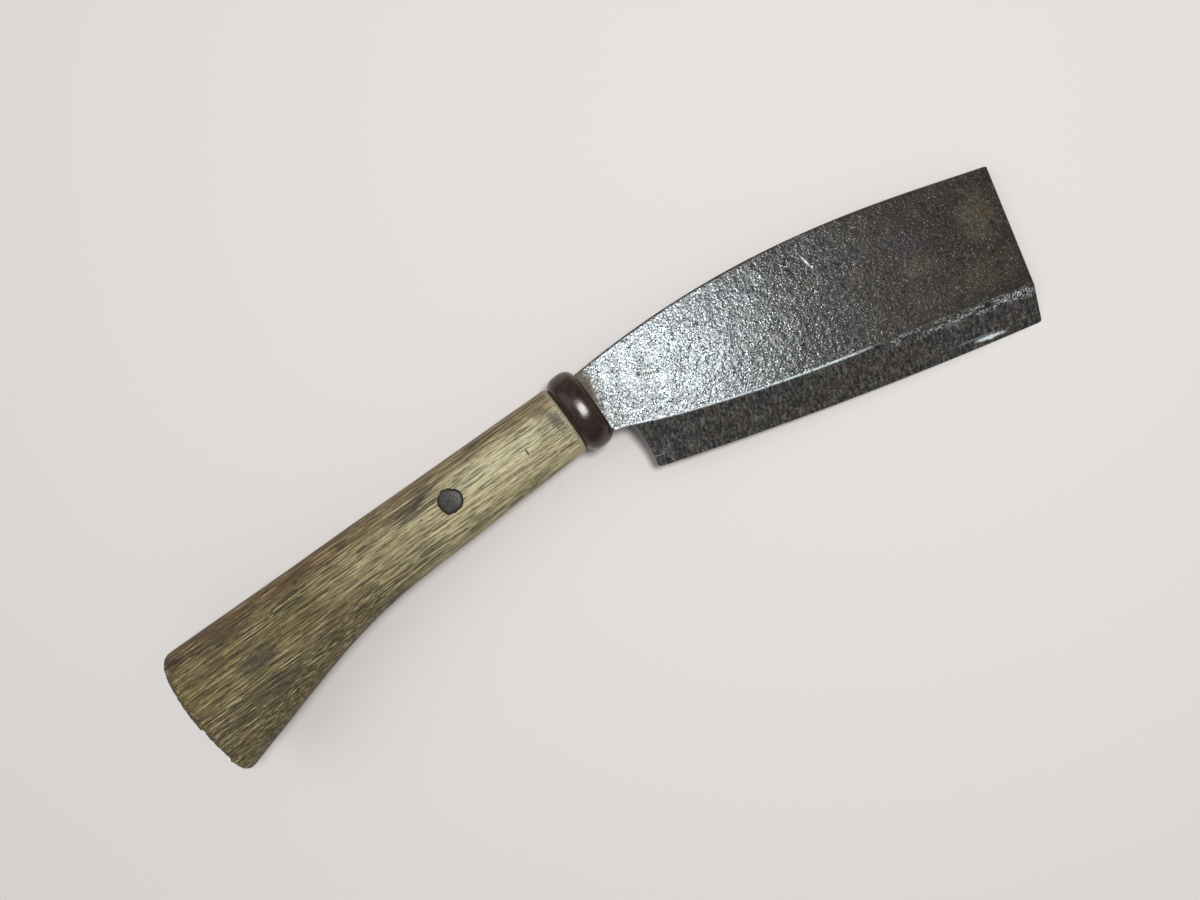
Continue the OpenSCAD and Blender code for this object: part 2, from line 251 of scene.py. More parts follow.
def mesh_piece(name, bm, place, materials, body="root", crisp=35):
    """Makes an object of bm, which is in millimetres in the frame that place puts in the row frame."""
    bmesh.ops.recalc_face_normals(bm, faces=bm.faces[:])
    bm.transform(place)
    mesh = bpy.data.meshes.new(name)
    for face in bm.faces:
        face.smooth = True
    bm.to_mesh(mesh)
    bm.free()
    mesh.set_sharp_from_angle(angle=math.radians(crisp))
    piece = bpy.data.objects.new(name, mesh)
    bpy.context.scene.collection.objects.link(piece)
    for material in materials:
        mesh.materials.append(material)
    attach(piece, body)
    return piece


def numbered_grid(columns, rows):
    """A grid whose vertices know their column and row."""
    bm = bmesh.new()
    bmesh.ops.create_grid(bm, x_segments=columns, y_segments=rows, size=1)
    col, row = bm.verts.layers.int.new("col"), bm.verts.layers.int.new("row")
    for v in bm.verts:
        v[col] = round((v.co.x + 1) / 2 * columns)
        v[row] = round((1 - v.co.y) / 2 * rows)
    return bm, col, row


# Columns of points run across the blade, from its spine to its edge. The neck's columns stop at the lower outline.
NECK_COLUMNS = 12
BEVEL_COLUMNS = 274
FLAT_ROWS = 82
IRON_ROWS = 20
STEEL_ROWS = 7
FINE = [0.08, 0.22, 0.5]
FAR = 9.0

lower_x = spread(BEVEL_COLUMNS, TIP_X - STEEL_LEFT_X, [0.3, 0.7], FINE) + STEEL_LEFT_X
join_x = 13.0  # where the columns of the upper outline pass from the neck's to the bevel's
upper_x = join_x + (lower_x - lower_x[0]) / (lower_x[-1] - lower_x[0]) * (TIP_X - join_x)
upper_x = upper_x + (lower_x - upper_x) * np.array([smooth(20, 60, x) for x in lower_x])
neck_top = turned(RING_FRONT, NECK_TOP)
neck_low = turned(RING_FRONT, NECK_LOW)
neck_share = spread(NECK_COLUMNS, 1.0, [0.02, 0.08], [0.08])[:-1]
low_line = [
    (neck_low[0] + k * (STEEL_LEFT_X - neck_low[0]), neck_low[1] + k * (NOTCH_Y - neck_low[1])) for k in neck_share
]
low_line += [(x, float(bevel_line_y(x))) for x in lower_x]
top_line = [(x, float(spine_y(x))) for x in neck_top[0] + neck_share * (join_x - neck_top[0])]
top_line += [(x, float(spine_y(x))) for x in upper_x]
COLUMNS = len(low_line) - 1
first = len(neck_share)


def bevel_point(i, t):
    """A point of the bevel in column i, from the bevel line (t = 0) to the edge (t = 1), seen from above."""
    s = (lower_x[i - first] - lower_x[0]) / (lower_x[-1] - lower_x[0])
    top = np.array(low_line[i])
    bottom_x = HEEL_X + s * (TIP_X - HEEL_X)
    bottom = np.array([bottom_x, edge_y(bottom_x)])
    left, right = heel_outline(t), np.array([TIP_X, low_line[-1][1] + t * (TIP_LOW_Y - low_line[-1][1])])
    corners = (1 - s) * (1 - t) * heel_outline(0) + (1 - s) * t * np.array([HEEL_X, HEEL_Y])
    corners = corners + s * (1 - t) * np.array(low_line[-1]) + s * t * np.array([TIP_X, TIP_LOW_Y])
    p = (1 - t) * top + t * bottom + (1 - s) * left + s * right - corners
    above = (1 - t) * float(np.hypot(*(top - bottom)))
    a, b = worn_corner(past_heel(p), above, HEEL_WEAR)
    if above < HEEL_WEAR and s < 0.05:
        p = p + np.array([a - past_heel(p), b - above])
    a, b = worn_corner(TIP_X - p[0], above, TIP_WEAR)
    return np.array([p[0] - (a - (TIP_X - p[0])), p[1] + b - above])


def blade_points():
    """Front points of the blade: for each column the flat's rows, the iron part of the bevel and the steel part.

    A point is x, y, z, how deep in a pit it lies, its distance from the outline and its distance from the bevel line.
    """
    flat, iron, steel = [], [], []
    for i in range(COLUMNS + 1):
        top, low = np.array(top_line[i]), np.array(low_line[i])
        height = float(np.hypot(*(top - low)))
        column = []
        for d in spread(FLAT_ROWS, height, FINE, [0.1, 0.3]):
            p = top + (low - top) * d / height
            a, b = worn_corner(TIP_X - p[0], d, TIP_WEAR)
            p = np.array([TIP_X - a if TIP_X - p[0] < TIP_WEAR else p[0], p[1] - (b - d)])
            relief, pit = forged(*p)
            inset = min(d, TIP_X - p[0], height - d if i < first else height)
            round_off = RIM_R - math.sqrt(max(0.0, RIM_R**2 - max(0.0, RIM_R - inset) ** 2))
            z = flat_z(p[0]) + relief * smooth(0, 0.8, inset) - round_off
            column.append((p[0], p[1], z, pit, inset, height - d if i >= first else FAR))
        flat.append(column)
        if i < first:
            iron.append(None)
            steel.append(None)
            continue
        drop_z = flat_z(low[0]) - (BACK_Z + LAND)
        weld = 1 - (STEEL_T - LAND) / drop_z
        parts = []
        for shares in (np.linspace(0, weld, IRON_ROWS + 1), np.linspace(weld, 1, STEEL_ROWS + 1)):
            column = []
            for t in shares:
                p = bevel_point(i, t)
                relief, pit = ground(*p)
                z = flat_z(low[0]) - t * drop_z
                fade = smooth(0, 0.03, t) * smooth(0, 0.12, 1 - t)
                end = min(TIP_X - p[0], END_WEAR)
                z += relief * fade - (END_WEAR - end) ** 2 * min(1.0, (1 - t) * 8)
                ends = min(past_heel(p), TIP_X - p[0])
                column.append((p[0], p[1], z, pit, ends, t * (low[1] - edge_y(p[0]))))
            parts.append(column)
        parts[0][0] = flat[-1][-1]
        iron.append(parts[0])
        steel.append(parts[1])
    return flat, iron, steel


def slanted(x, y):
    """X of a point near the tip, whose upper corner lies a little behind the lower one."""
    return x - TIP_SLANT * smooth(TIP_X - 45, TIP_X, x) * (y - TIP_LOW_Y) / (TIP_TOP_Y - TIP_LOW_Y)


def carry_points(bm, col, row, points):
    """Puts each vertex of a numbered grid at its point, and notes the rest of the point in layers of the mesh."""
    pits, insets, ridges = (bm.verts.layers.float.new(name) for name in ("pit", "inset", "ridge"))
    for v in bm.verts:
        x, y, z, pit, inset, ridge = points(v[col], v[row])
        v.co = (slanted(x, y), y, z)
        v[pits], v[insets], v[ridges] = pit, max(0.0, inset), ridge
    return pits, insets


def on_back(v):
    return v.co.z < BACK_Z + 0.01


def rear_of(bm):
    """Extrudes a sheet into a slab, and returns the new vertices and the faces of the far side."""
    front = set(bm.verts)
    bmesh.ops.extrude_face_region(bm, geom=bm.faces[:])
    verts = {v for v in bm.verts if v not in front}
    return verts, [f for f in bm.faces if all(v in verts for v in f.verts)]


def tapered_bar(bm, ends):
    """A bar along X between two ends, and returns its vertices."""
    verts = bmesh.ops.create_cube(bm, size=1)["verts"]
    for v in verts:
        u, width, thick = ends[v.co.x > 0]
        v.co = (u, math.copysign(width, v.co.y), math.copysign(thick, v.co.z))
    return verts


def back_relief(x, y):
    """Height of the flat back over the CAD's plane: a trace of hammering and of the flattening stone."""
    return 0.06 + 0.03 * bumps(x, y, 2.0, 11.0) + 0.012 * bumps(x, y, 4.0, 1.6)


def make_blade(materials):
    """The soft iron body: forged flat, upper bevel, back above the steel, and the tang inside the handle."""
    bm, col, row = numbered_grid(COLUMNS, FLAT_ROWS + IRON_ROWS)
    gone = [f for f in bm.faces if min(v[col] for v in f.verts) < first and min(v[row] for v in f.verts) >= FLAT_ROWS]
    bmesh.ops.delete(bm, geom=gone, context="FACES")

    def point(i, j):
        return flat_points[i][j] if j <= FLAT_ROWS else iron_points[i][j - FLAT_ROWS]

    pits, insets = carry_points(bm, col, row, point)
    for f in bm.faces:
        f.material_index = 1 if min(v[row] for v in f.verts) >= FLAT_ROWS else 0
    rear, rear_faces = rear_of(bm)
    for f in bm.faces:
        if any(v in rear for v in f.verts):
            f.material_index = 0
    for f in rear_faces:
        f.material_index = 2
    for v in rear:
        v.co.z = BACK_Z
        v[pits] = 0
    cuts = [(STEEL_TOP_Y, 1), (STEEL_TOP_Y - WELD_SEAM, 1), (STEEL_LEFT_X, 0), (STEEL_LEFT_X + WELD_SEAM, 0)]
    for place, axis in cuts:
        low_faces = [f for f in bm.faces if all(on_back(v) for v in f.verts)]
        edges, verts = {e for f in low_faces for e in f.edges}, {v for f in low_faces for v in f.verts}
        line = [place if k == axis else 0 for k in range(3)]
        across = [k == axis for k in range(3)]
        geom = low_faces + list(edges) + list(verts)
        bmesh.ops.bisect_plane(bm, geom=geom, dist=1e-5, plane_co=line, plane_no=across)
    for v in bm.verts:
        if on_back(v):
            x, y = v.co.x, v.co.y
            under = y < STEEL_TOP_Y - WELD_SEAM / 2 and x > STEEL_LEFT_X + WELD_SEAM / 2
            worn = max(0.0, END_WEAR - v[insets]) ** 2 if y > STEEL_TOP_Y or x < STEEL_LEFT_X else 0
            v.co.z = STEEL_BED_Z if under else BACK_Z + back_relief(x, y) + 2 * worn
            v[insets] = FAR
    for v in tapered_bar(bm, TANG):
        v.co.x, v.co.y = turned(v.co.x, v.co.y)
    blade = mesh_piece("blade", bm, TOOL, materials)
    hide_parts("blade_body")
    return blade


def make_edge(materials):
    """The hard steel: its ground strip along the edge, and its layer on the back with the seam of the weld."""
    upper = 14
    bm, col, row = numbered_grid(COLUMNS - first, upper + IRON_ROWS + STEEL_ROWS)
    hidden_z = STEEL_BED_Z - SEAT_GAP  # the top of the layer, inside the body

    def point(i, j):
        iron, steel = iron_points[i + first], steel_points[i + first]
        if j >= upper + IRON_ROWS:
            return steel[j - upper - IRON_ROWS]
        if j >= upper:
            return *iron[j - upper][:2], hidden_z, 0.0, 1.0, FAR
        low = iron[0]
        x = lower_x[i] + (low[0] - lower_x[i]) * j / upper
        y = STEEL_TOP_Y - (STEEL_TOP_Y - low[1]) * j / upper
        return x, y, hidden_z, 0.0, 1.0, FAR

    pits, _ = carry_points(bm, col, row, point)
    rear, rear_faces = rear_of(bm)
    for v in rear:
        v[pits] = 0
        v.co.z = BACK_Z + back_relief(v.co.x, v.co.y)
    for f in rear_faces:
        f.material_index = 1
    edge = mesh_piece("edge_of_hard_steel", bm, TOOL, materials)
    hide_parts("edge_steel")
    return edge


# ---------------------------------------------------------------- handle

AROUND = 236
PIN_AROUND = 72
SLIVER = 2e-6


def back_at(s):
    """Height of the handle's back over its axis, at s behind the ring."""
    return BACK_H + BACK_SWELL * s / HANDLE_LEN


def belly_at(s):
    """Depth of the handle's belly under its axis: almost straight, then a bend into the flare of the butt."""
    run = s - FLARE_START
    run = 0 if run < 0 else run**2 / (2 * FLARE_BEND) if run < FLARE_BEND else run - FLARE_BEND / 2
    return BELLY_H + BELLY_SLOPE * s + FLARE_SLOPE * run


def half_t(s):
    """Half the handle's thickness, which grows evenly to the butt."""
    return (GRIP_T + (BUTT_T - GRIP_T) * s / HANDLE_LEN) / 2


def oval(h, t, power, count):
    """Points of an oval of half height h and half thickness t, evenly spaced along its outline."""
    a = np.linspace(0, 2 * math.pi, 1441)
    y = h * np.sign(np.cos(a)) * np.abs(np.cos(a)) ** (2 / power)
    z = t * np.sign(np.sin(a)) * np.abs(np.sin(a)) ** (2 / power)
    run = np.concatenate([[0], np.cumsum(np.hypot(np.diff(y), np.diff(z)))])
    at = np.linspace(0, run[-1], count + 1)[:-1]
    return np.stack([np.interp(at, run, y), np.interp(at, run, z)], axis=1)


def wood_section(s, inset, scale, share):
    """One outline of the handle at s behind the ring; by its share it takes the crowned shape of the butt."""
    middle, h, t = (back_at(s) - belly_at(s)) / 2, (back_at(s) + belly_at(s)) / 2, half_t(s)
    power = ROUND_POWER + (BUTT_POWER - ROUND_POWER) * s / HANDLE_LEN
    q = oval(scale * (h - inset), scale * (t - inset), power, AROUND)
    crisp = 0.55 * inset * scale * (1 - q[:, 0] / h) / 2
    q[:, 0] -= crisp * smooth(100, 170, s)
    out = BUTT_CROWN * (1 - (q[:, 0] / h) ** 2) * (1 - 0.6 * (q[:, 1] / t) ** 2)
    cut = BUTT_SLANT * (1 - q[:, 0] / h) / 2
    return np.stack([-s - share * (out - cut), middle + q[:, 0], q[:, 1]], axis=1)


def tenon_section(u, inset):
    """One outline of the tenon, which fills the ring's bore."""
    outline = oval(BORE_H - inset, BORE_Z - inset, ROUND_POWER, AROUND)
    return np.column_stack([np.full(AROUND, u), outline + [RING_RISE, 0]])


def wood_sections():
    """Outlines of the handle from the tenon's end to the middle of the butt."""
    sections = [tenon_section(TENON_END, inset) for inset in (6, 2.5, 0.8)]
    sections += [tenon_section(4.1, 0.3)] + [tenon_section(u, 0.1) for u in (3.6, -3.0, RING_REAR + 0.3)]
    sections.append(tenon_section(RING_REAR, 0.25))
    shoulder = -RING_REAR
    for a in np.linspace(0, math.pi / 2, 6)[:-1]:
        s = shoulder + FRONT_RIM_R * (1 - math.cos(a))
        sections.append(wood_section(s, FRONT_RIM_R * (1 - math.sin(a)), 1, 0))
    for s in np.linspace(shoulder + FRONT_RIM_R, HANDLE_LEN - 4 * BUTT_RIM_R, 168):
        sections.append(wood_section(s, 0, 1, 0))
    for k in np.linspace(0, 1, 9)[1:-1]:
        sections.append(wood_section(HANDLE_LEN - BUTT_RIM_R * (4 - 3 * k), 0, 1, 0.35 * k))
    for k in np.linspace(0, 1, 8):
        a = k * math.pi / 2
        s = HANDLE_LEN - BUTT_RIM_R * (1 - math.sin(a))
        sections.append(wood_section(s, BUTT_RIM_R * (1 - math.cos(a)), 1, 0.35 + 0.65 * k))
    for k in range(1, 15):
        sections.append(wood_section(HANDLE_LEN, BUTT_RIM_R, 1 - k / 15, 1))
    return sections


def head_outline(angle, side):
    """Radius of a peened pin head: a hammered round with flats and small nicks."""
    flats = 0.28 * math.cos(3 * angle + 0.6 + side) + 0.22 * math.cos(5 * angle - 1.1 + 2 * side)
    nicks = 0.16 * noise.noise((2.2 * math.cos(angle), 2.2 * math.sin(angle), 4.0 + side))
    return HEAD_R - 0.32 + flats * 0.55 + (nicks + 0.08 * math.cos(11 * angle + side))


def wood_grooves(u, v, z):
    """Open grain that runs straight along the handle: 0 on the ridges, 1 in the grooves."""
    lines = noise.noise((u / 17, v / 0.6 + 7, z / 0.6)) + 0.45 * noise.noise((u / 8, v / 0.42, z / 0.42 + 3))
    patch = 0.5 + 0.7 * noise.noise((u / 34, v / 8, z / 8))
    worn = 1 - 0.65 * smooth(-75, -30, u) * smooth(-6, 2, v) * smooth(14, 8, v)
    return smooth(0.18, 0.62, lines + 0.25 * patch) * max(0.0, patch) * worn


def make_handle(materials):
    """The one-piece handle, with its tenon, mortise and the let-in seats of the pin heads."""
    sections = wood_sections()
    bm = bmesh.new()
    bmesh.ops.create_uvsphere(bm, u_segments=AROUND, v_segments=len(sections) + 1, radius=1)
    groove, end_grain = bm.verts.layers.float.new("groove"), bm.verts.layers.float.new("end_grain")
    rings = len(sections) + 1
    for v in bm.verts:
        ring = round(math.acos(max(-1.0, min(1.0, v.co.z))) / math.pi * rings)
        if ring in (0, rings):
            v.co = sections[0 if ring == 0 else -1].mean(axis=0)
            continue
        v.co = sections[ring - 1][round(math.atan2(v.co.y, v.co.x) / (2 * math.pi) * AROUND) % AROUND]
    bmesh.ops.recalc_face_normals(bm, faces=bm.faces[:])
    bm.normal_update()
    moves = []
    for v in bm.verts:
        u, y, z = v.co
        if u > RING_REAR - 0.4:
            continue
        end = smooth(-174, -180.5, u) * smooth(0.35, 0.8, -v.normal.x)
        g = wood_grooves(u, y, z) * (1 - end) + end * smooth(0.05, 0.4, noise.noise((u / 9, y / 0.9, z / 0.9)))
        shaved = 0.16 * noise.noise((u / 38, y / 8, z / 8 + 5)) + 0.09 * noise.noise((u / 14, y / 3.2, z / 3.2))
        lift = shaved - 0.24 * g - 0.12
        near_rim = smooth(-171, -180, u)
        lift -= 0.25 * near_rim * max(0.0, noise.noise((2.0, y / 1.3, z / 1.3)))
        step = smooth(-13.6, -14.2, y) * smooth(-29.5, -28.9, y) * smooth(-4, 2, z)
        chip = step * (0.75 + 0.35 * noise.noise((5.0, y / 1.6, z / 3.5)))
        chip += 0.35 * max(0.0, noise.noise((8.0, y / 1.1, z / 2.5)))
        push = chip * smooth(-175, -180, u)
        v[groove], v[end_grain] = g, end
        ease = smooth(RING_REAR - 0.4, RING_REAR - 2.2, u)
        moves.append((v, v.normal * lift * ease + Vector((push, 0, 0))))
    for v, move in moves:
        v.co += move
    handle = mesh_piece("handle_of_oak", bm, HANDLE, materials, crisp=50)
    for cutter in (mortise_cutter(), pin_cutter()):
        cut = handle.modifiers.new("seat", "BOOLEAN")
        cut.operation, cut.solver, cut.object = "DIFFERENCE", "EXACT", cutter
        seated = bpy.data.meshes.new_from_object(handle.evaluated_get(bpy.context.evaluated_depsgraph_get()))
        handle.modifiers.clear()
        handle.data = seated
        bpy.data.objects.remove(cutter)

    # The cuts leave slivers and twin faces by the seats; without them the handle is closed
    bm = bmesh.new()
    bm.from_mesh(handle.data)
    bmesh.ops.remove_doubles(bm, verts=bm.verts[:], dist=SLIVER)
    bmesh.ops.dissolve_degenerate(bm, edges=bm.edges[:], dist=SLIVER)
    bmesh.ops.triangulate(bm, faces=[f for f in bm.faces if len(f.verts) > 4])
    twins = {}
    for f in bm.faces:
        twins.setdefault(frozenset(f.verts), []).append(f)
    bmesh.ops.delete(bm, geom=[f for same in twins.values() if len(same) > 1 for f in same], context="FACES")
    bm.to_mesh(handle.data)
    bm.free()
    handle.data.name = "handle_of_oak"
    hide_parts("handle")
    return handle


def cutter_of(bm):
    """A closed body that is taken out of the handle, and then removed."""
    bmesh.ops.recalc_face_normals(bm, faces=bm.faces[:])
    bm.transform(HANDLE)
    mesh = bpy.data.meshes.new("cutter")
    bm.to_mesh(mesh)
    bm.free()
    cutter = bpy.data.objects.new("cutter", mesh)
    bpy.context.scene.collection.objects.link(cutter)
    return cutter


def mortise_cutter():
    bm = bmesh.new()
    tapered_bar(bm, MORTISE)
    return cutter_of(bm)


def turned_body(bm, profile, around, radius_of):
    """A closed body about Z from (radius, height) pairs, top to bottom, on a sphere's rings."""
    rings = len(profile) + 1
    verts = bmesh.ops.create_uvsphere(bm, u_segments=around, v_segments=rings, radius=1)["verts"]
    for v in verts:
        ring = round(math.acos(max(-1.0, min(1.0, v.co.z))) / math.pi * rings)
        angle = math.atan2(v.co.y, v.co.x)
        if ring in (0, rings):
            v.co = (0, 0, profile[0][1] if ring == 0 else profile[-1][1])
            continue
        r, z = profile[ring - 1]
        r = radius_of(angle, r, z)
        v.co = (r * math.cos(angle), r * math.sin(angle), z)
    return verts


def pin_cutter():
    """The seats of the two heads and the hole between them, a little larger than the pin."""
    bm = bmesh.new()
    floor_z, clear_z = half_t(PIN_BACK) - HEAD_DEPTH, 16.0
    profile = [(HEAD_R, clear_z), (HEAD_R, floor_z), (PIN_D / 2, floor_z)]
    profile += [(r, -z) for r, z in reversed(profile)]

    def radius(angle, r, z):
        if r < HEAD_R:
            return r + SEAT_GAP
        ragged = 0.1 * abs(noise.noise((3 * math.cos(angle), 3 * math.sin(angle), 9.0)))
        return head_outline(angle, 0 if z > 0 else 2) + 0.2 + ragged

    verts = turned_body(bm, profile, PIN_AROUND, radius)
    bmesh.ops.translate(bm, verts=verts, vec=(-PIN_BACK, PIN_RISE, 0))
    return cutter_of(bm)


def make_pin(materials):
    """The iron pin, with a hammered head let into each side of the handle."""
    bm = bmesh.new()
    top = half_t(PIN_BACK)
    floor_z = top - HEAD_DEPTH + SEAT_GAP
    dome = [(1.2, 0.0), (2.4, 0.03), (3.4, 0.08), (4.1, 0.15), (4.6, 0.28), (4.9, 0.5), (HEAD_R, 0.85)]
    profile = [(r, top + HEAD_DOME - 0.1 - down) for r, down in dome] + [(HEAD_R, floor_z), (PIN_D / 2, floor_z)]
    profile += [(r, -z) for r, z in reversed(profile)]

    def radius(angle, r, z):
        return r if r <= PIN_D / 2 and abs(z) <= floor_z else r * head_outline(angle, 0 if z > 0 else 2) / HEAD_R

    verts = turned_body(bm, profile, PIN_AROUND, radius)
    for v in verts:
        if abs(v.co.z) > top - 0.3:
            v.co.z += (0.09 * bumps(v.co.x, v.co.y, 2.0, 1.7) - 0.05) * (1 if v.co.z > 0 else -1)
    bmesh.ops.translate(bm, verts=verts, vec=(-PIN_BACK, PIN_RISE, 0))
    pin = mesh_piece("pin", bm, HANDLE, materials)
    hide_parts("handle_pin")
    return pin


def powered(value, power):
    """A power of the size of a value, with the value's own sign."""
    return math.copysign(abs(value) ** power, value)


def make_ring(materials):
    """The forged ring: a half-round section swept round the mouth of the handle."""
    half, squareness = (RING_FRONT - RING_REAR) / 2, 0.85
    profile = []
    for a in np.linspace(-math.pi / 2, math.pi / 2, 22):
        c, s = powered(math.cos(a), squareness), powered(math.sin(a), squareness)
        profile.append((RING_SIDE + (RING_DEPTH - RING_SIDE) * c, half * s))
    profile += [(0.4, half), (0.0, half - 0.5), (0.0, half / 3), (0.0, -half / 3), (0.0, 0.5 - half), (0.4, -half)]
    count, stations, reach = len(profile), 144, 3.0
    bm = bmesh.new()
    bmesh.ops.create_circle(bm, segments=count, radius=1)
    upright = Matrix.Translation((reach, 0, 0)) @ Matrix.Rotation(math.pi / 2, 4, "X")
    bmesh.ops.transform(bm, matrix=upright, verts=bm.verts[:])
    bmesh.ops.spin(bm, geom=bm.verts[:] + bm.edges[:], cent=(0, 0, 0), axis=(0, 0, 1), angle=2 * math.pi,
                   steps=stations, use_merge=True)
    for v in bm.verts:
        turn = math.atan2(v.co.y, v.co.x)
        q = profile[round(math.atan2(v.co.z, math.hypot(v.co.x, v.co.y) - reach) / (2 * math.pi) * count) % count]
        cos, sin = math.cos(turn), math.sin(turn)
        bore_y, bore_z = BORE_H * powered(cos, 2 / ROUND_POWER), BORE_Z * powered(sin, 2 / ROUND_POWER)
        out_y, out_z = powered(cos, 2 - 2 / ROUND_POWER) / BORE_H, powered(sin, 2 - 2 / ROUND_POWER) / BORE_Z
        size = math.hypot(out_y, out_z)
        wave = 0.2 * noise.noise((2.1 * cos, 2.1 * sin, q[1] / 5)) - 0.15 if q[0] > RING_SIDE else 0
        out = q[0] + wave
        y, z = RING_RISE + bore_y + out * out_y / size, bore_z + out * out_z / size
        v.co = ((RING_FRONT + RING_REAR) / 2 + q[1], y, z)
    ring = mesh_piece("ring", bm, HANDLE, materials)
    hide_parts("ferrule_ring")
    return ring


# ---------------------------------------------------------------- material nodes

def srgb(r, g, b):
    """A screen colour, 0 to 255, as the linear colour that a socket takes."""
    return tuple((c / 255 / 12.92 if c <= 10 else ((c / 255 + 0.055) / 1.055) ** 2.4) for c in (r, g, b)) + (1.0,)


def node(tree, kind, settings=None, sockets=None):
    """A shader node, with its settings, and its sockets by name or number set to a value or linked to another."""
    made = tree.nodes.new("ShaderNode" + kind)
    for name, value in (settings or {}).items():
        setattr(made, name, value)
    for name, value in (sockets or {}).items():
        if isinstance(value, bpy.types.NodeSocket):
            tree.links.new(value, made.inputs[name])
        else:
            made.inputs[name].default_value = value
    return made


def calc(tree, operation, a, b=0.0, c=0.0):
    """The result of a Math node."""
    return node(tree, "Math", {"operation": operation}, {0: a, 1: b, 2: c}).outputs[0]


def vector_calc(tree, operation, a, b):
    return node(tree, "VectorMath", {"operation": operation}, {0: a, 1: b}).outputs[0]


def climb(tree, value, low, high, to_low=0.0, to_high=1.0):
    """Eases from to_low at low to to_high at high."""
    sockets = {"Value": value, "From Min": low, "From Max": high, "To Min": to_low, "To Max": to_high}
    return node(tree, "MapRange", {"interpolation_type": "SMOOTHSTEP"}, sockets).outputs[0]


def times(tree, a, b):
    return calc(tree, "MULTIPLY", a, b)


def mixed(tree, factor, a, b):
    """Colour a, turned to colour b by the factor."""
    return node(tree, "Mix", {"data_type": "RGBA"}, {0: factor, 6: a, 7: b}).outputs[2]


def noise_of(tree, vector, scale, detail=2.0, rough=0.5):
    sockets = {"Vector": vector, "Scale": scale, "Detail": detail, "Roughness": rough}
    return node(tree, "TexNoise", None, sockets).outputs[0]


def turned_over(tree, vector, degrees, scale):
    """A vector scaled, and then turned about Z."""
    sockets = {"Vector": vector, "Rotation": (0, 0, math.radians(degrees)), "Scale": scale}
    return node(tree, "Mapping", None, sockets).outputs[0]


def streaked(tree, vector, stretch, detail, rough=0.5):
    """Noise drawn out along the axes with the small numbers of stretch."""
    return noise_of(tree, vector_calc(tree, "MULTIPLY", vector, stretch), 1.0, detail, rough)


def node_group(name, inputs, outputs, build):
    """A shader node group; inputs are (name, kind, default), and outputs are the names of values."""
    tree = bpy.data.node_groups.new(name, "ShaderNodeTree")
    for label, kind, default in inputs:
        tree.interface.new_socket(name=label, in_out="INPUT", socket_type="NodeSocket" + kind).default_value = default
    for label in outputs:
        tree.interface.new_socket(name=label, in_out="OUTPUT", socket_type="NodeSocketFloat")
    taken, given = tree.nodes.new("NodeGroupInput"), tree.nodes.new("NodeGroupOutput")
    for label, socket in build(tree, taken.outputs).items():
        tree.links.new(socket, given.inputs[label])
    return tree


def placed(tree, group, **sockets):
    """A node group set in a material, with its own values."""
    return node(tree, "Group", {"node_tree": group}, sockets).outputs


def build_spot(tree, taken):
    """A ragged patch round a centre: 1 inside, 0 outside."""
    away = vector_calc(tree, "DIVIDE", vector_calc(tree, "SUBTRACT", taken["Vector"], taken["Centre"]), taken["Size"])
    reach = node(tree, "VectorMath", {"operation": "LENGTH"}, {0: away}).outputs["Value"]
    wobble = calc(tree, "SUBTRACT", noise_of(tree, taken["Vector"], taken["Detail"], 3.0, 0.6), 0.5)
    reach = calc(tree, "MULTIPLY_ADD", wobble, taken["Ragged"], reach)
    return {"Mask": climb(tree, reach, 1.0, 0.35)}


def build_grit(tree, taken):
    """Forged orange peel: a height, small ragged pits scattered over it, and specks for painted glints."""
    size = calc(tree, "DIVIDE", 1.0, taken["Size"])
    peel = noise_of(tree, taken["Vector"], size, 1.6, 0.55)
    specks = noise_of(tree, taken["Vector"], times(tree, size, 1.3), 2.5, 0.65)
    where = noise_of(tree, taken["Vector"], times(tree, size, 0.22), 2.0)
    holes = times(tree, climb(tree, specks, 0.44, 0.32), climb(tree, where, 0.36, 0.60, 0.35, 1.0))
    elsewhere = vector_calc(tree, "ADD", taken["Vector"], (31.0, 7.0, 3.0))
    painted_glints = noise_of(tree, elsewhere, times(tree, size, 1.9), 2.0, 0.6)
    height = calc(tree, "MULTIPLY_ADD", holes, -0.5, peel)
    return {"Height": height, "Pits": holes, "Glints": climb(tree, painted_glints, 0.60, 0.70)}


def build_rust(tree, taken):
    """Blotches of rust and old oxide in two sizes."""
    broad = noise_of(tree, taken["Vector"], 0.045, 3.0, 0.55)
    small = noise_of(tree, taken["Vector"], 0.32, 4.0, 0.65)
    both = calc(tree, "MULTIPLY_ADD", small, 0.55, times(tree, broad, 0.75))
    low = calc(tree, "SUBTRACT", 0.86, taken["Amount"])
    over = times(tree, calc(tree, "SUBTRACT", both, low), 5.0)
    return {"Mask": node(tree, "Clamp", None, {"Value": over}).outputs[0]}


def build_strokes(tree, taken):
    """Fine parallel scratches along Y: a height, and the few bright ones."""
    leant = turned_over(tree, taken["Vector"], 9, (1.05, 0.26, 0.4))
    fine = noise_of(tree, leant, 1.0, 3.0, 0.7)
    few = streaked(tree, taken["Vector"], (1.6, 0.22, 0.3), 3.0, 0.6)
    return {"Height": fine, "Bright": climb(tree, few, 0.60, 0.72)}


